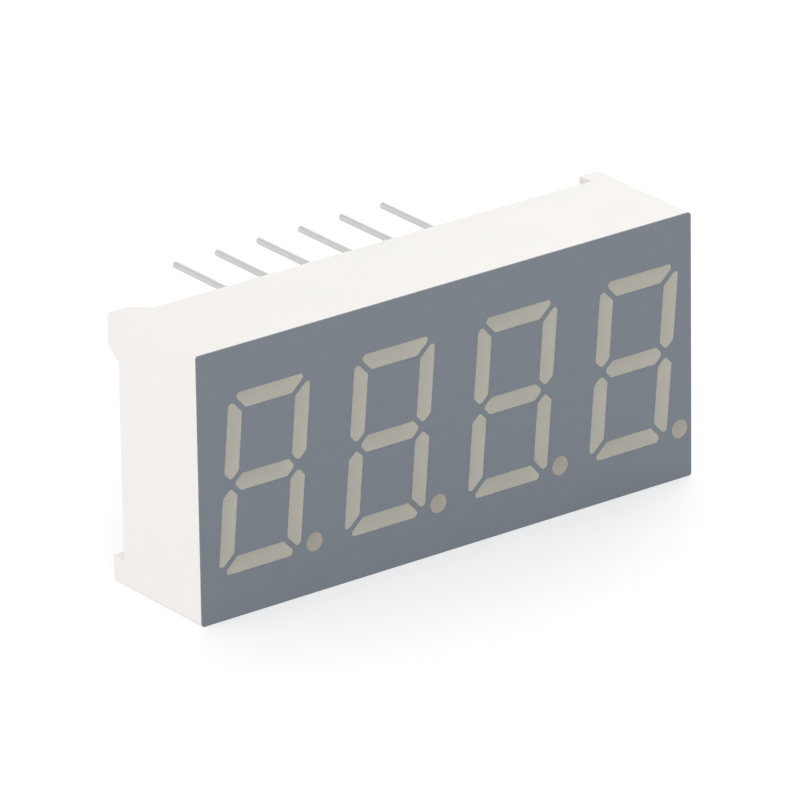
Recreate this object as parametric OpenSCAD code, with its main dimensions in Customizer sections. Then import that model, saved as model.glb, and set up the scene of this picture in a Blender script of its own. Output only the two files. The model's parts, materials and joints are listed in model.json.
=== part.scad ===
// Seven-segment LED display, four digits, with twelve through-hole pins.
// Millimetres. +X runs along the digits, +Z is up and the face looks towards -Y.
// The origin is the middle of the pin pattern, on the plane of the four feet.

/* [Digits] */
// Number of digits side by side
digits = 4; // [1:1:6]
// Distance from one digit to the next
digit_pitch = 7.5; // [7:0.1:10]
// Height of a digit over its top and bottom bars
digit_h = 9.3; // [8:0.1:10.5]
// Width of a digit over its side bars, measured level
digit_w = 4.89; // [4:0.01:5.3]
// Width of one bar
bar_w = 0.88; // [0.6:0.01:1]
// Width of the case left between two bars
bar_gap = 0.26; // [0.2:0.01:0.4]
// Radius of the bars' corners
bar_corner_r = 0.2; // [0.05:0.01:0.22]
// Lean of the digits to the right, in degrees
slant = 5.1; // [0:0.1:10]
// Diameter of a decimal point
point_d = 1; // [0.8:0.01:1.2]
// Level gap between a digit's side bars and its decimal point
point_gap = 0.31; // [0.2:0.01:0.5]
// Height of a decimal point's middle above the bottom of the digit
point_rise = 0.37; // [0.3:0.01:1]
// How far the digits and pins sit to the right of the case's middle
array_shift = 0.14; // [0:0.01:0.5]
// How far the digits sit below the case's middle
digit_drop = 0.06; // [0:0.01:0.5]

/* [Case] */
// Height of the case
case_h = 14; // [13.4:0.1:20]
// Depth over the face and the feet
case_d = 7.3; // [6.4:0.1:12]
// Case wall left outside the last decimal point
end_wall = 0.23; // [0.2:0.01:1]
// Thickness of the two end walls around the board
side_wall = 0.5; // [0.4:0.01:0.6]
// Thickness of the top and bottom walls around the board
long_wall = 0.55; // [0.4:0.01:0.7]
// Radius of the four long edges
case_edge_r = 0.15; // [0.1:0.01:0.5]
// Thickness of the printed film on the face
film_t = 0.08; // [0.04:0.01:0.2]

/* [Feet] */
// Height of the feet behind the rim
foot_h = 0.85; // [0.4:0.01:1.2]
// Size of a foot along the case
foot_w = 1.25; // [0.9:0.01:2]
// Size of a foot across the case
foot_l = 1.36; // [0.9:0.01:2]
// Size across the case of the foot that marks the top left corner
mark_foot_l = 1.65; // [1:0.01:2.5]
// Length of the marking foot's slope along the case
mark_slope_w = 0.86; // [0.2:0.01:1.5]
// Length of the marking foot's slope across the case
mark_slope_l = 0.67; // [0.2:0.01:1.5]

/* [Light wells] */
// Length of a well where it meets the circuit board
well_base_l = 2.2; // [1.6:0.1:3]
// Depth of the straight part of a well behind the face
well_land = 0.5; // [0.2:0.1:1]

/* [Circuit board] */
// Thickness of the circuit board
board_t = 1; // [0.8:0.1:1.2]
// Gap between the board's edges and the case walls
board_gap = 0.1; // [0.05:0.01:0.15]
// Thickness of the copper, let into the board's two faces
copper_t = 0.04; // [0.03:0.01:0.07]
// Width of a copper track
track_w = 0.25; // [0.15:0.01:0.3]
// Distance from one track to the next
track_pitch = 0.75; // [0.6:0.01:0.9]
// Distance from the end of the board to the end of the outermost track
track_margin = 1; // [0.5:0.1:1.5]
// Radius of the spot of copper at the end of a track
track_spot_r = 0.3; // [0.2:0.01:0.35]
// Radius of the copper ring around each pin
ring_r = 0.5; // [0.4:0.01:0.6]
// Thickness of the resin cast behind the board
fill_t = 1.05; // [0.8:0.01:1.2]
// Drop from the rim of the case to the resin
fill_drop = 0.4; // [0.1:0.01:0.6]

/* [Light chips] */
// Side of a light chip
chip_w = 0.26; // [0.2:0.01:0.28]
// Height of a light chip
chip_t = 0.18; // [0.1:0.01:0.25]
// Side of the copper pad under a chip
chip_pad = 0.36; // [0.32:0.01:0.38]
// Distance from a chip to the pad that its wire ends on
wire_span = 0.42; // [0.38:0.01:0.45]
// Length of the pad that a wire ends on
wire_pad = 0.2; // [0.15:0.01:0.22]
// Thickness of a bond wire
wire_w = 0.04; // [0.03:0.01:0.05]
// Rise of a bond wire above the chip
wire_rise = 0.2; // [0.1:0.01:0.3]

/* [Pins] */
// Pins in each of the two rows
pins_per_row = 6; // [2:2:8]
// Distance from one pin to the next in a row
pin_pitch = 2.54; // [2:0.01:2.6]
// Distance between the two rows
row_spacing = 10.16; // [9.6:0.01:10.6]
// How far the two rows sit above the middle of the case
row_rise = 0.15; // [0:0.01:0.3]
// Diameter of a pin
pin_d = 0.35; // [0.32:0.01:0.6]
// Diameter of a pin's inner end, at the front of the board
pin_end_d = 0.3; // [0.2:0.01:0.32]
// Length of a pin behind the feet
pin_l = 6.7; // [3:0.1:12]
// Length of the bevel at a pin's tip
pin_bevel = 0.1; // [0.02:0.01:0.12]
// Radial room around a pin in its hole in the board
hole_gap = 0.03; // [0.01:0.01:0.06]
// Height of the solder on the back of the board
solder_h = 0.45; // [0.2:0.01:0.7]
// Radius of the solder where it meets the board
solder_base_r = 0.42; // [0.38:0.01:0.45]
// Width of the solder around a pin at its top
solder_lip = 0.06; // [0.02:0.01:0.08]

/* [Hidden] */
$fn = 32;
// Overshoot of a cutting shape past the face that it cuts
over = 0.02;
// Straight pieces in a rounded corner
corner_steps = 6;

// Levels from the face to the feet, along Y
face_y = -case_d;
case_front_y = face_y + film_t;
rim_y = -foot_h;
fill_y = rim_y - fill_drop;
board_rear_y = fill_y - fill_t;
board_front_y = board_rear_y - board_t;

// A digit's measures, upright and from its own middle
half_w = digit_w / 2;
half_h = digit_h / 2;
side_bar_x = half_w - bar_w / 2;
inner_w = half_w - bar_w;
inner_h = half_h - bar_w;
// Shift along an edge that opens half the gap at a 45 degree joint
joint = bar_gap / sqrt(2);
point_x = half_w + point_gap + point_d / 2;
point_z = point_rise - half_h;

function lean(p) = [p[0] + p[1] * tan(slant), p[1]];
function digit_x(d) = (d - (digits + 1) / 2) * digit_pitch;
function at_digit(d, p) = lean(p) + [digit_x(d), -digit_drop];

// The case, whose right end lies just outside the last decimal point
case_right = at_digit(digits, [point_x, point_z])[0] + point_d / 2 + end_wall;
case_w = 2 * (case_right + array_shift);
case_left = case_right - case_w;

// The board in its recess
recess_left = case_left + side_wall;
recess_right = case_right - side_wall;
recess_top = case_h / 2 - long_wall;
board_left = recess_left + board_gap;
board_right = recess_right - board_gap;
board_top = recess_top - board_gap;

// Room between a chip pad and the edge of the board, at the last decimal point
pad_edge = 0.07;
point_chip_x = point_d / 2 + end_wall - side_wall - board_gap - pad_edge - chip_pad / 2;
// A chip and its wire's pad lie evenly about the middle of their well
chip_offset = (chip_pad / 2 + wire_span + wire_pad / 2) / 2 - chip_pad / 2;

// The tip of a pin is bevelled to this share of the diameter
tip_share = 0.6;

segments = ["a", "b", "c", "d", "e", "f", "g"];
pin_count = 2 * pins_per_row;

function segment_node(d, s) = str("digit_", d, "_segment_", s);
function point_node(d) = str("digit_", d, "_point");
function chips_node(d) = str("digit_", d, "_chips");
function wires_node(d) = str("digit_", d, "_bond_wires");
function pin_node(p) = str("pin_", p);

// ---- Outlines, seen from the front as [x, z] ----

// One corner of an outline, rounded: a and b are its neighbours
function round_corner(a, p, b, r) =
    let (
        to_a = (a - p) / norm(a - p),
        to_b = (b - p) / norm(b - p),
        half = acos(to_a * to_b) / 2,
        mid = p + (to_a + to_b) / norm(to_a + to_b) * r / sin(half),
        start = p + to_a * r / tan(half) - mid,
        end = p + to_b * r / tan(half) - mid,
        turn = atan2(start[0] * end[1] - start[1] * end[0], start * end)
    )
    [for (i = [0:corner_steps])
        let (t = turn * i / corner_steps)
        mid + [start[0] * cos(t) - start[1] * sin(t), start[0] * sin(t) + start[1] * cos(t)]
    ];

function rounded(outline, r) =
    let (n = len(outline))
    [for (i = [0:n - 1]) each round_corner(outline[(i + n - 1) % n], outline[i], outline[(i + 1) % n], r)];

// The top bar, which has a 45 degree joint at each end
top_bar = [
    [joint - half_w, half_h],
    [joint - inner_w, inner_h],
    [inner_w - joint, inner_h],
    [half_w - joint, half_h]
];

// The middle bar, which is pointed at both ends
middle_bar = [
    [joint - side_bar_x, 0],
    [joint - inner_w, -bar_w / 2],
    [inner_w - joint, -bar_w / 2],
    [side_bar_x - joint, 0],
    [inner_w - joint, bar_w / 2],
    [joint - inner_w, bar_w / 2]
];

// The upper right bar, which is pointed at the digit's waist
side_bar = [
    [half_w, half_h - joint],
    [half_w, joint + bar_w / 2],
    [side_bar_x, joint],
    [inner_w, joint + bar_w / 2],
    [inner_w, inner_h - joint]
];

function flipped(outline, x, z) = [for (p = outline) [p[0] * x, p[1] * z]];

function segment_outline(s) =
    s == "a" ? top_bar :
    s == "b" ? side_bar :
    s == "c" ? flipped(side_bar, 1, -1) :
    s == "d" ? flipped(top_bar, 1, -1) :
    s == "e" ? flipped(side_bar, -1, -1) :
    s == "f" ? flipped(side_bar, -1, 1) :
    middle_bar;

function is_side(s) = s == "b" || s == "c" || s == "e" || s == "f";

// The middle of a segment in its digit
function segment_middle(s) =
    s == "a" ? [0, half_h - bar_w / 2] :
    s == "b" ? [side_bar_x, half_h / 2] :
    s == "c" ? [side_bar_x, -half_h / 2] :
    s == "d" ? [0, bar_w / 2 - half_h] :
    s == "e" ? [-side_bar_x, -half_h / 2] :
    s == "f" ? [-side_bar_x, half_h / 2] :
    [0, 0];

// ---- Helpers ----

// Draws an outline from the front and gives it depth between two levels of Y
module deep(front, rear) {
    translate([0, rear, 0]) rotate([90, 0, 0]) linear_extrude(rear - front) children();
}

module block(left, right, bottom, top, front, rear) {
    translate([left, front, bottom]) cube([right - left, rear - front, top - bottom]);
}

module case_outline() {
    polygon(rounded([
        [case_left, -case_h / 2],
        [case_right, -case_h / 2],
        [case_right, case_h / 2],
        [case_left, case_h / 2]
    ], case_edge_r));
}

// ---- Light wells ----

// Slopes the ends of a well in towards the board; it is drawn along X
module well_flare(front) {
    linear_extrude(2 * bar_w, center = true) polygon([
        [-half_h, front],
        [half_h, front],
        [half_h / 2, case_front_y + well_land],
        [well_base_l / 2, board_front_y],
        [well_base_l / 2, board_front_y + over],
        [-well_base_l / 2, board_front_y + over],
        [-well_base_l / 2, board_front_y],
        [-half_h / 2, case_front_y + well_land]
    ]);
}

// Turns what is drawn along X to lie along a segment, at its middle
module along_segment(d, s) {
    middle = at_digit(d, segment_middle(s));
    translate([middle[0], 0, middle[1]]) rotate([0, is_side(s) ? slant - 90 : 0, 0]) children();
}

module segment_well(d, s, front = face_y, rear = board_front_y) {
    intersection() {
        deep(front, rear) polygon([for (p = rounded(segment_outline(s), bar_corner_r)) at_digit(d, p)]);
        along_segment(d, s) well_flare(front);
    }
}

module point_well(d, front = face_y, rear = board_front_y) {
    deep(front, rear) translate(at_digit(d, [point_x, point_z])) circle(d = point_d);
}

module all_wells(front, rear) {
    for (d = [1:digits]) {
        for (s = segments) segment_well(d, s, front, rear);
        point_well(d, front, rear);
    }
}

// ---- Chips, wires and copper in one well, drawn along X ----

module chip() {
    block(-chip_offset - chip_w / 2, -chip_offset + chip_w / 2, -chip_w / 2, chip_w / 2,
        board_front_y - chip_t, board_front_y);
}

// A flat loop from the top of the chip over to the pad
module bond_wire() {
    chip_top = board_front_y - chip_t;
    loop_y = chip_top - wire_rise;
    start = -chip_offset;
    end = start + wire_span;
    translate([0, 0, -wire_w / 2]) linear_extrude(wire_w) polygon([
        [start - wire_w / 2, chip_top],
        [start - wire_w / 2, loop_y],
        [end + wire_w / 2, loop_y],
        [end + wire_w / 2, board_front_y],
        [end - wire_w / 2, board_front_y],
        [end - wire_w / 2, loop_y + wire_w],
        [start + wire_w / 2, loop_y + wire_w],
        [start + wire_w / 2, chip_top]
    ]);
}

module chip_copper(front) {
    block(-chip_offset - chip_pad / 2, -chip_offset + chip_pad / 2, -chip_pad / 2, chip_pad / 2,
        front, board_front_y + copper_t);
    block(wire_span - chip_offset - wire_pad / 2, wire_span - chip_offset + wire_pad / 2,
        -chip_pad / 2, chip_pad / 2, front, board_front_y + copper_t);
}

module at_point_chip(d) {
    middle = at_digit(d, [point_x, point_z]);
    translate([middle[0] + point_chip_x, 0, middle[1]]) rotate([0, -90, 0]) children();
}

module at_each_chip(d) {
    for (s = segments) along_segment(d, s) children();
    at_point_chip(d) children();
}

// ---- Pins ----

// The height of a row: -1 is the bottom one and 1 is the top one
function row_height(row) = row_rise + row * row_spacing / 2;

// Pins run along the bottom row from the left, then back along the top row
function pin_place(p) =
    let (column = p <= pins_per_row ? p - 1 : pin_count - p)
    [(column - (pins_per_row - 1) / 2) * pin_pitch, row_height(p <= pins_per_row ? -1 : 1)];

module at_pins() {
    for (p = [1:pin_count]) translate([pin_place(p)[0], 0, pin_place(p)[1]]) children();
}

// A round bar along Y
module rod(front, rear, front_r, rear_r) {
    translate([0, front, 0]) rotate([-90, 0, 0]) cylinder(h = rear - front, r1 = front_r, r2 = rear_r);
}

// The cone of solder around a pin, behind the board
module solder_cone() {
    rod(board_rear_y, board_rear_y + solder_h, solder_base_r, pin_d / 2 + solder_lip);
}

// A pin is straight behind the case, and tapers from the rim in through the resin and the board
module pin_shape() {
    rod(board_front_y, rim_y, pin_end_d / 2, pin_d / 2);
    rod(rim_y, pin_l - pin_bevel, pin_d / 2, pin_d / 2);
    rod(pin_l - pin_bevel, pin_l, pin_d / 2, tip_share * pin_d / 2);
}

// ---- Copper on the back of the board ----

// From a pin towards the middle of the board, then out to the nearer end
module track(side, row, step) {
    x = side * (pins_per_row - 1 - 2 * step) / 2 * pin_pitch;
    row_z = row_height(row);
    bus_z = row_z - row * (ring_r + (step + 1) * track_pitch);
    board_end = side > 0 ? board_right : board_left;
    end = board_end - side * (track_margin + step * track_pitch);
    translate([x, (row_z + bus_z) / 2]) square([track_w, abs(row_z - bus_z)], center = true);
    translate([(x + end) / 2, bus_z]) square([abs(end - x) + track_w, track_w], center = true);
    translate([end, bus_z]) circle(track_spot_r);
}

module back_copper(rear) {
    deep(board_rear_y - copper_t, rear) {
        for (side = [-1, 1]) for (row = [-1, 1]) for (step = [0:pins_per_row / 2 - 1]) track(side, row, step);
        for (p = [1:pin_count]) translate(pin_place(p)) circle(ring_r);
    }
}

module all_copper(front, rear) {
    for (d = [1:digits]) at_each_chip(d) chip_copper(front);
    back_copper(rear);
}

// ---- Case corners ----

// The room that a foot takes in a corner: side is -1 at the left, and level is -1 at the bottom
module foot_room(side, level, front, rear, room) {
    is_mark = side < 0 && level > 0;
    w = foot_w + room;
    l = (is_mark ? mark_foot_l : foot_l) + room;
    end = side > 0 ? case_right : case_left;
    block(min(end, end - side * w), max(end, end - side * w),
        min(level * case_h / 2, level * (case_h / 2 - l)), max(level * case_h / 2, level * (case_h / 2 - l)),
        front, rear);
}

// The slopes that run down from the marking foot to the rim along both walls
module mark_slopes() {
    x = case_left + foot_w;
    z = case_h / 2 - mark_foot_l;
    translate([0, 0, case_h / 2 - long_wall]) linear_extrude(long_wall) polygon([
        [x - over, rim_y - over],
        [x + mark_slope_w, rim_y - over],
        [x + mark_slope_w, rim_y],
        [x, 0],
        [x - over, 0]
    ]);
    translate([case_left, 0, 0]) rotate([90, 0, 90]) linear_extrude(side_wall) polygon([
        [rim_y - over, z + over],
        [rim_y - over, z - mark_slope_l],
        [rim_y, z - mark_slope_l],
        [0, z],
        [0, z + over]
    ]);
}

// ---- Sub-parts ----

module housing() {
    color("#f4f1ee") difference() {
        union() {
            difference() {
                deep(case_front_y, rim_y) case_outline();
                block(recess_left, recess_right, -recess_top, recess_top, board_front_y, rim_y + over);
            }
            intersection() {
                union() {
                    for (side = [-1, 1]) for (level = [-1, 1])
                        foot_room(side, level, board_front_y - over, 0, 0);
                    mark_slopes();
                }
                deep(case_front_y, 0) case_outline();
            }
        }
        all_wells(case_front_y - over, board_front_y + over);
    }
}

module face_film() {
    color("#787f85") difference() {
        deep(face_y, case_front_y) case_outline();
        all_wells(face_y - over, case_front_y + over);
    }
}

module light_segment(d, s) {
    color("#b0aaa0") difference() {
        segment_well(d, s);
        along_segment(d, s) chip();
        along_segment(d, s) bond_wire();
    }
}

module light_point(d) {
    color("#a39d92") difference() {
        point_well(d);
        at_point_chip(d) chip();
        at_point_chip(d) bond_wire();
    }
}

module board_outline_cut() {
    for (side = [-1, 1]) for (level = [-1, 1])
        foot_room(side, level, board_front_y - over, board_rear_y + over, board_gap);
}

module board_body() {
    difference() {
        block(board_left, board_right, -board_top, board_top, board_front_y, board_rear_y);
        board_outline_cut();
    }
}

module circuit_board() {
    color("#5d7f58") difference() {
        board_body();
        all_copper(board_front_y - over, board_rear_y + over);
        at_pins() rod(board_front_y - over, board_rear_y + over, pin_d / 2 + hole_gap, pin_d / 2 + hole_gap);
    }
}

module copper_tracks() {
    color("#b87a4b") difference() {
        all_copper(board_front_y, board_rear_y);
        at_pins() rod(board_front_y, board_rear_y + over, pin_d / 2 + hole_gap, pin_d / 2 + hole_gap);
    }
}

module solder_joints() {
    color("#c9cbcc") at_pins() difference() {
        solder_cone();
        pin_shape();
    }
}

module back_fill() {
    color("#ddd6c4") difference() {
        block(recess_left, recess_right, -recess_top, recess_top, board_front_y, fill_y);
        for (side = [-1, 1]) for (level = [-1, 1])
            foot_room(side, level, board_front_y - over, fill_y + over, 0);
        board_body();
        at_pins() {
            solder_cone();
            pin_shape();
        }
    }
}

module digit_chips(d) {
    color("#e8c34a") at_each_chip(d) chip();
}

module digit_bond_wires(d) {
    color("#d9b24c") at_each_chip(d) bond_wire();
}

module pin(p) {
    color("#cfd0d1") translate([pin_place(p)[0], 0, pin_place(p)[1]]) pin_shape();
}

// ---- The part ----

// Everything above is drawn about the middle of the case; the part's origin is level with the pins' middle
translate([0, 0, -row_rise]) {
    housing();
    face_film();
    for (d = [1:digits]) for (s = segments)
        light_segment(d, s);
    for (d = [1:digits]) light_point(d);
    circuit_board();
    copper_tracks();
    solder_joints();
    back_fill();
    for (d = [1:digits]) digit_chips(d);
    for (d = [1:digits]) digit_bond_wires(d);
    for (p = [1:pin_count]) pin(p);
}
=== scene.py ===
import json
import math

import bmesh
import bpy
import numpy as np
from mathutils import Matrix, Vector


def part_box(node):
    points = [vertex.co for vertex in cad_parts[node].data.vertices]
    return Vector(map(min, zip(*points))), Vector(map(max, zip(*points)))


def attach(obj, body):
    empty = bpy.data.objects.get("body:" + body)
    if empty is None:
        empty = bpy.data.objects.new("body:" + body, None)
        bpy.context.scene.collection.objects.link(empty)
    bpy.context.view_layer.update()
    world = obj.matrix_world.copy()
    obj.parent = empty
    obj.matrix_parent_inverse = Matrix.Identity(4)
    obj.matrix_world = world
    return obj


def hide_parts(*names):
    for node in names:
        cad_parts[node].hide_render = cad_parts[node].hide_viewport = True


# Looks of a four-digit seven-segment LED display, dressed around its packed construction.
# Everything is in metres in the part's own frame: +X runs along the digits, +Z is up,
# and the face looks towards -Y. It stands on the long bottom side of its case.

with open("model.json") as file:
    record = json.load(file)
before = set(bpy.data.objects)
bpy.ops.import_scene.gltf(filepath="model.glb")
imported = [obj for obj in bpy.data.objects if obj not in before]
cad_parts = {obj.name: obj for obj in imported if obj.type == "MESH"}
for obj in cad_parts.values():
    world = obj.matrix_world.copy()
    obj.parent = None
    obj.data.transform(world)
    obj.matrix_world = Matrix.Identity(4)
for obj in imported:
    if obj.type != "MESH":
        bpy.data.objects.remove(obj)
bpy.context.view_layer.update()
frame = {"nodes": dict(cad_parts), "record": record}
cad = frame["nodes"]

MM = 0.001
UP = Vector((0, 0, 1))
RESIN_NODES = [s["node"] for s in frame["record"]["subparts"] if s["material_slot"] == "light_resin"]
PIN_NODES = [n for n in cad if n.startswith("pin_")]

case_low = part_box("housing")[0]
film_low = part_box("face_film")[0]
fill_low, fill_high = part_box("back_fill")

# Vertices closer than this are one, and faces within this angle are one flat face
WELD = 0.0005 * MM
FLAT = math.radians(0.5)
# A face whose normal has this share in a direction looks that way, and one this near a level lies on it
FACING = 0.99
ON_LEVEL = 0.01 * MM
# Where the faces at a corner all but line up, a pull weaker than this share of the strongest is left out
LEAST_SHARE = 0.05
# A poured resin reaches this far into what it wets, so no air shows between the two
WET = 0.012 * MM
# The resin in a segment lies this far under the printed face, and sinks a little more in its middle
RESIN_DROP = 0.015 * MM
RESIN_SINK = 0.012 * MM
SINK_WIDTH = 0.07 * MM
# Round on the moulded edges of the rim and the feet
EDGE_ROUND = 0.04 * MM
EDGE_STEPS = 3
# Only edges this far behind the resin and sharper than this are rounded
EDGES_BEHIND = 0.1 * MM
EDGE_SHARPER = math.radians(40)
# Resin climbs what it touches behind the board: rise, and how fast it falls off
WALL_RISE, WALL_REACH = 0.2 * MM, 0.35 * MM
PIN_RISE, PIN_REACH = 0.2 * MM, 0.14 * MM
# The resin's surface is cut into strips of this width, and finer at these distances from a wall or pin
STRIP = 0.5 * MM
FINE_CUTS = [r * MM for r in (0.2, 0.26, 0.34, 0.45, 0.6)]
# Cuts are rounded to this many decimals of a metre, so that none is made twice
CUT_DECIMALS = 6
# An edge of the resin within this many pin radii of a pin is the pin's own hole, not a wall
HOLE_RADII = 3


def direction_at(azimuth, elevation):
    """The way towards a place, in degrees: 0, 0 is straight in front of the face."""
    azimuth, elevation = math.radians(azimuth), math.radians(elevation)
    return Vector((math.sin(azimuth) * math.cos(elevation),
                   -math.cos(azimuth) * math.cos(elevation), math.sin(elevation)))


# ---- Camera ----

CAMERA_AZIMUTH = -36.7
CAMERA_ELEVATION = 22.48
CAMERA_ROLL = 0.84
CAMERA_DISTANCE = 471.9 * MM
CAMERA_AIM = Vector((-0.382, -3.627, -0.357)) * MM
CAMERA_LENS = 435.26
CAMERA_NEAREST = 50 * MM


def add_camera():
    """A very long lens, from the left and above, tipped a little to one side."""
    back = direction_at(CAMERA_AZIMUTH, CAMERA_ELEVATION)
    right = UP.cross(back).normalized()
    turn = Matrix.Rotation(math.radians(CAMERA_ROLL), 3, -back)
    right.rotate(turn)
    up = back.cross(right)
    camera = bpy.data.objects.new("camera", bpy.data.cameras.new("camera"))
    camera.data.lens = CAMERA_LENS
    camera.data.clip_start = CAMERA_NEAREST
    camera.matrix_world = Matrix.Translation(CAMERA_AIM + back * CAMERA_DISTANCE) @ Matrix(
        (right, up, back)).transposed().to_4x4()
    bpy.context.scene.collection.objects.link(camera)
    bpy.context.scene.camera = camera


# ---- Materials ----

# A wave texture turns through this many radians in one unit of its scale
WAVE_TURN = 20


def linear(hex_color):
    """The linear colour of an sRGB hex value."""
    shown = [int(hex_color[i:i + 2], 16) / 255 for i in (1, 3, 5)]
    return [c / 12.92 if c <= 0.04045 else ((c + 0.055) / 1.055) ** 2.4 for c in shown] + [1.0]


def per(size_mm):
    """The scale at which a pattern in object coordinates has features of this size."""
    return 1 / (size_mm * MM)


def add(tree, kind, feeds=(), **settings):
    """One shader node: settings are its properties, feeds its inputs' values or what they link to."""
    made = tree.nodes.new("ShaderNode" + kind)
    for name, value in settings.items():
        setattr(made, name, value)
    for socket, value in dict(feeds).items():
        if isinstance(value, bpy.types.NodeSocket):
            tree.links.new(value, made.inputs[socket])
        else:
            made.inputs[socket].default_value = value
    return made


def new_material(name):
    """An empty material, its node tree, and the place of each point in the part's frame."""
    material = bpy.data.materials.new(name)
    material.use_nodes = True
    material.node_tree.nodes.clear()
    return material, material.node_tree, add(material.node_tree, "TexCoord").outputs["Object"]


def noise(tree, place, size_mm, detail):
    """A cloudy pattern with features of this size."""
    return add(tree, "TexNoise", {"Vector": place, "Scale": per(size_mm), "Detail": detail})


def bands(tree, place, size_mm, direction, distortion=0.0):
    """Soft bands this far apart, one after another in a direction."""
    scale = per(size_mm) * math.tau / WAVE_TURN
    return add(tree, "TexWave", {"Vector": place, "Scale": scale, "Distortion": distortion},
               bands_direction=direction)


def blend(tree, factor, hex_from, hex_to):
    """A colour that runs from one to the other with a factor."""
    return add(tree, "Mix", {"Factor": factor, "A": linear(hex_from), "B": linear(hex_to)}, data_type="RGBA")


def between(tree, pattern, low, high):
    """A pattern's value, brought between two others."""
    return add(tree, "MapRange", {"Value": pattern.outputs["Fac"], "To Min": low, "To Max": high})


def moulded_polycarbonate():
    """White polycarbonate from an eroded mould: a matt, even, slightly warm white with a fine dull grain."""
    material, tree, place = new_material("moulded_white_polycarbonate")
    # The mould's erosion pits are about 0.05 mm across, drawn at 0.09 mm so that they show
    grain = noise(tree, place, 0.09, 3.0)
    # The melt's flow leaves a slight cloudiness and long shallow waves that only show in the gloss
    flow = noise(tree, place, 5.0, 2.0)
    waves = noise(tree, place, 2.5, 1.0)
    rub = noise(tree, place, 1.2, 3.0)
    color = blend(tree, flow.outputs["Fac"], "#F1EEEA", "#F5F1EE")
    gloss = between(tree, rub, 0.4, 0.54)
    pitted = add(tree, "Bump", {"Height": grain.outputs["Fac"], "Distance": 0.004 * MM})
    wavy = add(tree, "Bump", {
        "Height": waves.outputs["Fac"], "Distance": 0.01 * MM, "Normal": pitted.outputs[0],
    })
    shader = add(tree, "BsdfPrincipled", {
        "Base Color": color.outputs["Result"], "Roughness": gloss.outputs["Result"],
        "IOR": 1.585, "Normal": wavy.outputs["Normal"],
    })
    add(tree, "OutputMaterial", {"Surface": shader.outputs[0]})
    return material


def screen_printed_ink():
    """Grey ink printed on the face: flat and satin, with a very fine mottle of pigment and mesh marks."""
    material, tree, place = new_material("screen_printed_grey_ink")
    pigment = noise(tree, place, 0.5, 4.0)
    # A printing mesh of 0.12 mm leaves faint rows of dots
    mesh_x = bands(tree, place, 0.12, "X", distortion=0.4)
    mesh_z = bands(tree, place, 0.12, "Z", distortion=0.4)
    dots = add(tree, "Math", {0: mesh_x.outputs["Fac"], 1: mesh_z.outputs["Fac"]},
               operation="MULTIPLY")
    waves = noise(tree, place, 3.0, 2.0)
    rub = noise(tree, place, 0.8, 3.0)
    color = blend(tree, pigment.outputs["Fac"], "#6B737B", "#727A82")
    gloss = between(tree, rub, 0.38, 0.52)
    dotted = add(tree, "Bump", {"Height": dots.outputs["Value"], "Distance": 0.0015 * MM})
    wavy = add(tree, "Bump", {
        "Height": waves.outputs["Fac"], "Distance": 0.006 * MM, "Normal": dotted.outputs[0],
    })
    shader = add(tree, "BsdfPrincipled", {
        "Base Color": color.outputs["Result"], "Roughness": gloss.outputs["Result"],
        "IOR": 1.5, "Normal": wavy.outputs["Normal"],
    })
    add(tree, "OutputMaterial", {"Surface": shader.outputs[0]})
    return material


def diffused_epoxy(name, hex_from, hex_to):
    """Clear epoxy with white diffuser in it, poured into the wells: milky and warm grey, with depth."""
    material, tree, place = new_material(name)
    cloud = noise(tree, place, 0.7, 3.0)
    grit = noise(tree, place, 0.15, 2.0)
    color = blend(tree, cloud.outputs["Fac"], hex_from, hex_to)
    uneven = add(tree, "Bump", {"Height": grit.outputs["Fac"], "Distance": 0.003 * MM})
    shader = add(tree, "BsdfPrincipled", {
        "Base Color": color.outputs["Result"], "Roughness": 0.35, "IOR": 1.53,
        "Transmission Weight": 0.6, "Normal": uneven.outputs["Normal"],
    })
    add(tree, "OutputMaterial", {"Surface": shader.outputs[0]})
    return material


def milky_potting_resin():
    """The resin cast behind the board: glossy, and clouded so that the board only just shows through."""
    material, tree, place = new_material("milky_potting_resin")
    cloud = noise(tree, place, 2.0, 4.0)
    waves = noise(tree, place, 1.5, 1.0)
    color = blend(tree, cloud.outputs["Fac"], "#E2DDCE", "#EAE6DB")
    wavy = add(tree, "Bump", {"Height": waves.outputs["Fac"], "Distance": 0.006 * MM})
    shader = add(tree, "BsdfPrincipled", {
        "Base Color": color.outputs["Result"], "Roughness": 0.12, "IOR": 1.53,
        "Transmission Weight": 0.53, "Normal": wavy.outputs["Normal"],
    })
    add(tree, "OutputMaterial", {"Surface": shader.outputs[0]})
    return material


def glass_epoxy_laminate():
    """Green lacquered glass-epoxy board, with the weave of the glass just showing under the lacquer."""
    material, tree, place = new_material("glass_epoxy_laminate")
    # The glass yarns lie 0.45 mm apart
    warp = bands(tree, place, 0.45, "X")
    weft = bands(tree, place, 0.45, "Z")
    weave = add(tree, "Math", {0: warp.outputs["Fac"], 1: weft.outputs["Fac"]}, operation="MULTIPLY")
    color = blend(tree, weave.outputs["Value"], "#3F6B3C", "#4C7A48")
    woven = add(tree, "Bump", {"Height": weave.outputs["Value"], "Distance": 0.006 * MM})
    shader = add(tree, "BsdfPrincipled", {
        "Base Color": color.outputs["Result"], "Roughness": 0.3,
        "IOR": 1.5, "Normal": woven.outputs["Normal"],
    })
    add(tree, "OutputMaterial", {"Surface": shader.outputs[0]})
    return material


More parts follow.
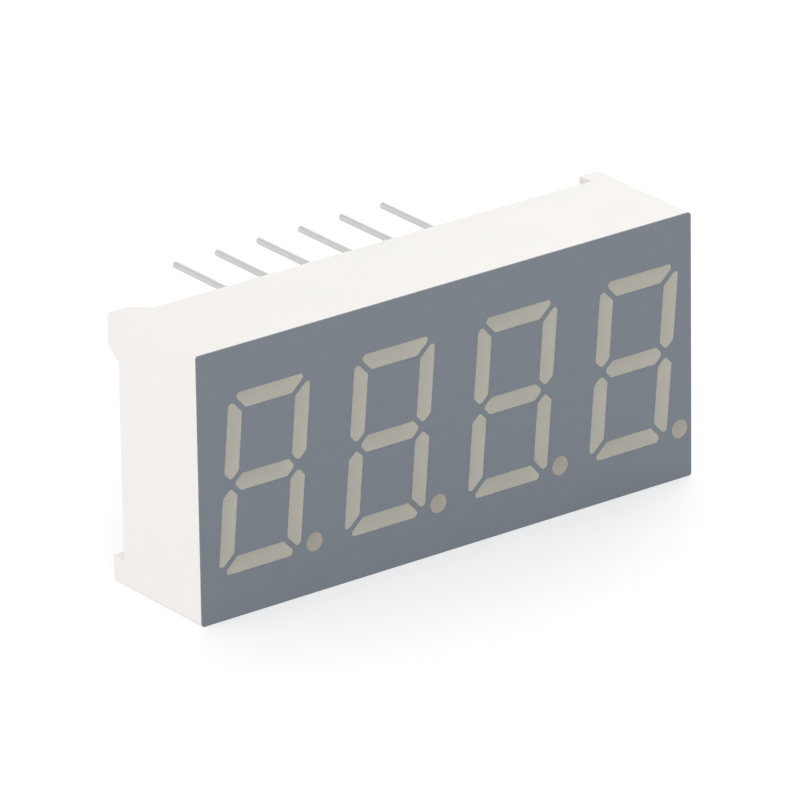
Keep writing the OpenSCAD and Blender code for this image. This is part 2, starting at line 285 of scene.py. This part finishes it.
def etched_copper():
    """Etched copper under lacquer: orange, with small patches where it has dulled."""
    material, tree, place = new_material("etched_copper")
    dull = noise(tree, place, 0.4, 4.0)
    color = blend(tree, dull.outputs["Fac"], "#CB8656", "#B36E48")
    gloss = between(tree, dull, 0.28, 0.46)
    shader = add(tree, "BsdfPrincipled", {
        "Base Color": color.outputs["Result"], "Metallic": 1.0, "Roughness": gloss.outputs["Result"],
    })
    add(tree, "OutputMaterial", {"Surface": shader.outputs[0]})
    return material


def reflowed_solder():
    """Solder that has flowed and set: bright, with a slightly frosted, crinkled skin."""
    material, tree, place = new_material("reflowed_solder")
    crinkle = noise(tree, place, 0.12, 3.0)
    frost = noise(tree, place, 0.2, 2.0)
    color = blend(tree, crinkle.outputs["Fac"], "#B9BCC0", "#CFD1D3")
    gloss = between(tree, frost, 0.15, 0.45)
    skin = add(tree, "Bump", {"Height": crinkle.outputs["Fac"], "Distance": 0.01 * MM})
    shader = add(tree, "BsdfPrincipled", {
        "Base Color": color.outputs["Result"], "Metallic": 1.0, "Roughness": gloss.outputs["Result"],
        "Normal": skin.outputs["Normal"],
    })
    add(tree, "OutputMaterial", {"Surface": shader.outputs[0]})
    return material


def tin_plated_wire():
    """Drawn wire with a dull tin plate: soft grey, with faint draw lines along it and small dull spots."""
    material, tree, place = new_material("tin_plated_wire")
    # Draw lines are about 0.02 mm apart round the wire and millimetres long, drawn at 0.05 mm
    along = add(tree, "Mapping", {"Vector": place, "Scale": (per(0.05), per(1.5), per(0.05))})
    lines = add(tree, "TexNoise", {"Vector": along.outputs["Vector"], "Scale": 1.0, "Detail": 2.0})
    spots = noise(tree, place, 0.35, 4.0)
    color = blend(tree, spots.outputs["Fac"], "#CBCBCB", "#D9D9D8")
    gloss = between(tree, spots, 0.3, 0.46)
    drawn = add(tree, "Bump", {"Height": lines.outputs["Fac"], "Distance": 0.003 * MM})
    shader = add(tree, "BsdfPrincipled", {
        "Base Color": color.outputs["Result"], "Metallic": 1.0, "Roughness": gloss.outputs["Result"],
        "Specular Tint": linear("#D0D0D0"), "Normal": drawn.outputs["Normal"],
    })
    add(tree, "OutputMaterial", {"Surface": shader.outputs[0]})
    return material


def light_crystal():
    """A sawn crystal of gallium phosphide: a yellow, glassy grain with dull sawn sides."""
    material, tree, place = new_material("sawn_light_crystal")
    grain = noise(tree, place, 0.08, 2.0)
    color = blend(tree, grain.outputs["Fac"], "#D9A93F", "#E8C667")
    shader = add(tree, "BsdfPrincipled", {
        "Base Color": color.outputs["Result"], "Roughness": 0.35, "IOR": 3.0,
    })
    add(tree, "OutputMaterial", {"Surface": shader.outputs[0]})
    return material


def gold_wire():
    """Fine drawn gold wire, bright and smooth."""
    material, tree, place = new_material("drawn_gold_wire")
    drawn = noise(tree, place, 0.1, 2.0)
    color = blend(tree, drawn.outputs["Fac"], "#E0B455", "#EFCB78")
    shader = add(tree, "BsdfPrincipled", {
        "Base Color": color.outputs["Result"], "Metallic": 1.0, "Roughness": 0.2,
    })
    add(tree, "OutputMaterial", {"Surface": shader.outputs[0]})
    return material


FINISHES = {
    "case_plastic": moulded_polycarbonate(),
    "face_ink": screen_printed_ink(),
    "light_resin": diffused_epoxy("diffused_epoxy", "#EBE7D9", "#F1EEE1"),
    "board_laminate": glass_epoxy_laminate(),
    "copper": etched_copper(),
    "solder": reflowed_solder(),
    "back_resin": milky_potting_resin(),
    "chip": light_crystal(),
    "bond_wire": gold_wire(),
    "pin_metal": tin_plated_wire(),
}
# The round wells of the decimal points are narrow and send less light back, so this copy of the epoxy is
# darker: painted shade in its colour
POINT_EPOXY_PAINTED_SHADE = diffused_epoxy("diffused_epoxy_painted_darker_in_round_wells", "#DCD4C6", "#E3DCD0")


def dress_frame():
    """Gives every CAD node the finish of its slot."""
    for part in frame["record"]["subparts"]:
        data = cad[part["node"]].data
        data.materials.clear()
        data.materials.append(FINISHES[part["material_slot"]])


# ---- Pieces ----

def take(node):
    """A copy of a CAD node's mesh to work on, welded, with each flat face in one piece."""
    bm = bmesh.new()
    bm.from_mesh(cad[node].data)
    bmesh.ops.remove_doubles(bm, verts=bm.verts, dist=WELD)
    bmesh.ops.dissolve_limit(bm, angle_limit=FLAT, verts=bm.verts, edges=bm.edges)
    bm.normal_update()
    return bm


def place_piece(bm, name, slot, node, finish=None, smooth_below=35):
    """Makes a piece that stands for its node and rides on the body, smooth over edges below some degrees."""
    data = bpy.data.meshes.new(name)
    bm.to_mesh(data)
    bm.free()
    data.shade_smooth()
    data.set_sharp_from_angle(angle=math.radians(smooth_below))
    data.materials.append(finish or FINISHES[slot])
    piece = bpy.data.objects.new(name, data)
    bpy.context.scene.collection.objects.link(piece)
    even = piece.modifiers.new("even_shading", "WEIGHTED_NORMAL")
    even.keep_sharp = True
    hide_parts(node)
    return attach(piece, "root")


def push_faces(bm, step_of):
    """Moves each flat face along its normal by step_of(face) and keeps the faces flat."""
    steps = {}
    for v in bm.verts:
        normals = np.array([f.normal for f in v.link_faces])
        wanted = np.array([step_of(f) for f in v.link_faces])
        steps[v] = Vector(np.linalg.lstsq(normals, wanted, rcond=LEAST_SHARE)[0])
    for v, step in steps.items():
        v.co += step


def faces_at(bm, y, side):
    """The flat faces on the level y that look towards side."""
    return [f for f in bm.faces
            if f.normal.y * side > FACING and abs(f.calc_center_median().y - y) < ON_LEVEL]


def poured_segment(node):
    """One segment's resin: it wets its well, and its face lies a hair under the print, faintly dished."""
    bm = take(node)
    face = set(faces_at(bm, film_low.y, -1))
    push_faces(bm, lambda f: -RESIN_DROP if f in face else WET)
    inner = faces_at(bm, film_low.y + RESIN_DROP, -1)
    bmesh.ops.inset_region(bm, faces=inner, thickness=SINK_WIDTH, use_even_offset=True)
    for v in {v for f in inner for v in f.verts}:
        v.co.y += RESIN_SINK
    # The decimal points take the darker copy of the epoxy, whose darkness is painted shade
    finish = POINT_EPOXY_PAINTED_SHADE if node.endswith("point") else None
    place_piece(bm, node + "_resin", "light_resin", node, finish=finish)


def round_housing():
    """The case, with the edges of its rim and its feet a little rounded, as they leave the mould."""
    bm = take("housing")
    rim_edges = [
        e for e in bm.edges
        if all(v.co.y > fill_high.y + EDGES_BEHIND for v in e.verts)
        and len(e.link_faces) == 2 and e.calc_face_angle_signed(0) > EDGE_SHARPER
    ]
    bmesh.ops.bevel(bm, geom=rim_edges, offset=EDGE_ROUND, offset_type="OFFSET", segments=EDGE_STEPS,
                    profile=0.5, affect="EDGES", clamp_overlap=True)
    place_piece(bm, "moulded_case", "case_plastic", "housing")


def spaced_cuts(low, high, step, extra):
    """Levels from low to high at this step, with extra ones between them, and none twice."""
    count = round((high - low) / step)
    levels = [low + (high - low) * i / count for i in range(1, count)] + extra
    return sorted({round(v, CUT_DECIMALS) for v in levels if low < v < high})


def cast_fill():
    """The resin behind the board, which climbs a little at the walls and round the pins."""
    bm = take("back_fill")
    top = set(faces_at(bm, fill_high.y, 1))
    push_faces(bm, lambda f: 0.0 if f in top else WET)
    walls = [(e.verts[0].co.copy(), e.verts[1].co.copy())
             for f in faces_at(bm, fill_high.y, 1) for e in f.edges
             if len(e.link_faces) == 2 and not all(g.normal.y > FACING for g in e.link_faces)]
    pins = [(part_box(n)[0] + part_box(n)[1]) / 2 for n in PIN_NODES]
    pin_r = (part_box(PIN_NODES[0])[1].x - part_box(PIN_NODES[0])[0].x) / 2
    walls = [w for w in walls if min((w[0].xz - p.xz).length for p in pins) > HOLE_RADII * pin_r]
    for axis in (0, 2):
        low, high = fill_low[axis], fill_high[axis]
        near_pins = [p[axis] + side * r for p in pins for r in FINE_CUTS for side in (-1, 1)]
        near_walls = [low + r for r in FINE_CUTS] + [high - r for r in FINE_CUTS]
        for level in spaced_cuts(low, high, STRIP, near_pins + near_walls):
            faces = faces_at(bm, fill_high.y, 1)
            edges = list({e for f in faces for e in f.edges})
            verts = list({v for f in faces for v in f.verts})
            at, along = [0, 0, 0], [0, 0, 0]
            at[axis], along[axis] = level, 1
            bmesh.ops.bisect_plane(bm, geom=faces + edges + verts, plane_co=at, plane_no=along, dist=WELD)
    surface = {v for f in faces_at(bm, fill_high.y, 1) for v in f.verts}
    for v in surface:
        to_pin = min((v.co.xz - p.xz).length for p in pins) - pin_r
        to_wall = min(distance_to(v.co.xz, a.xz, b.xz) for a, b in walls)
        v.co.y += WALL_RISE * math.exp(-to_wall / WALL_REACH)
        v.co.y += PIN_RISE * math.exp(-max(to_pin, 0) / PIN_REACH)
    place_piece(bm, "cast_back_resin", "back_resin", "back_fill", smooth_below=60)


def distance_to(p, a, b):
    """From a point to a line between two others."""
    line = b - a
    share = max(0.0, min(1.0, (p - a).dot(line) / line.length_squared))
    return (p - a - line * share).length


# ---- Floor and light ----

FLOOR_SIZE = 1.2
FLOOR_GREY = 0.8
# What the camera, a mirror and a glass see of the floor is lifted by this much, to white
FLOOR_LIFT = 0.34
WORLD_LEVEL = 0.7
# The studio is white up to a height, and dims to a level overhead (heights as sines of the angle)
SKY_FALLS_FROM, SKY_DARK_FROM, SKY_OVERHEAD = 0.1, 0.8, 0.9


def seen_directly(tree):
    """1 for what is seen straight, in a gloss or through a clear piece, and 0 for light on a matt surface."""
    path = add(tree, "LightPath")
    gloss = add(tree, "Math", {0: path.outputs["Is Camera Ray"], 1: path.outputs["Is Glossy Ray"]},
                operation="MAXIMUM")
    return add(tree, "Math", {0: gloss.outputs["Value"], 1: path.outputs["Is Transmission Ray"]},
               operation="MAXIMUM").outputs["Value"]


def add_floor():
    """A matt white sweep under the part, which is seen as white."""
    bm = bmesh.new()
    bmesh.ops.create_grid(bm, x_segments=1, y_segments=1, size=FLOOR_SIZE / 2)
    data = bpy.data.meshes.new("floor")
    bm.to_mesh(data)
    bm.free()
    floor = bpy.data.objects.new("floor", data)
    floor.location.z = case_low.z
    bpy.context.scene.collection.objects.link(floor)
    material, tree, _ = new_material("matt_white_sweep")
    matt = add(tree, "BsdfDiffuse", {"Color": (FLOOR_GREY, FLOOR_GREY, FLOOR_GREY, 1)})
    lift = add(tree, "Math", {0: seen_directly(tree), 1: FLOOR_LIFT}, operation="MULTIPLY")
    glow = add(tree, "Emission", {"Strength": lift.outputs["Value"]})
    both = add(tree, "AddShader", {0: matt.outputs[0], 1: glow.outputs[0]})
    add(tree, "OutputMaterial", {"Surface": both.outputs[0]})
    data.materials.append(material)


def add_world():
    """A white studio, full white where it is seen near the floor and darker overhead, as over a lit table."""
    world = bpy.data.worlds.new("studio")
    world.use_nodes = True
    tree = world.node_tree
    tree.nodes.clear()
    height = add(tree, "SeparateXYZ", {"Vector": add(tree, "TexCoord").outputs["Generated"]})
    sky = add(tree, "MapRange", {
        "Value": height.outputs["Z"], "From Min": SKY_FALLS_FROM, "From Max": SKY_DARK_FROM,
        "To Min": 1.0, "To Max": SKY_OVERHEAD,
    }, interpolation_type="SMOOTHSTEP")
    level = add(tree, "Mix", {"Factor": seen_directly(tree), "A": WORLD_LEVEL, "B": sky.outputs["Result"]})
    light = add(tree, "Background", {"Color": (1, 1, 1, 1), "Strength": level.outputs["Result"]})
    add(tree, "OutputWorld", {"Surface": light.outputs[0]})
    bpy.context.scene.world = world


def add_softbox(name, azimuth, elevation, distance, size, level):
    """A square soft lamp that gives a surface facing it this share of full light."""
    direction = direction_at(azimuth, elevation)
    lamp = bpy.data.objects.new(name, bpy.data.lights.new(name, "AREA"))
    lamp.data.size = size
    lamp.data.energy = level * (math.pi * distance) ** 2
    lamp.location = direction * distance
    lamp.rotation_euler = direction.to_track_quat("Z", "Y").to_euler()
    bpy.context.scene.collection.objects.link(lamp)


# ---- The scene ----

add_camera()
dress_frame()
round_housing()
for resin_node in RESIN_NODES:
    poured_segment(resin_node)
cast_fill()
add_floor()
add_world()
add_softbox("key", azimuth=-36, elevation=20, distance=0.5, size=0.4, level=0.44)
add_softbox("left_fill", azimuth=-100, elevation=8, distance=0.5, size=0.4, level=0.11)
add_softbox("rear_fill", azimuth=125, elevation=30, distance=0.5, size=0.35, level=0.22)

bpy.context.scene.view_settings.view_transform = "Standard"
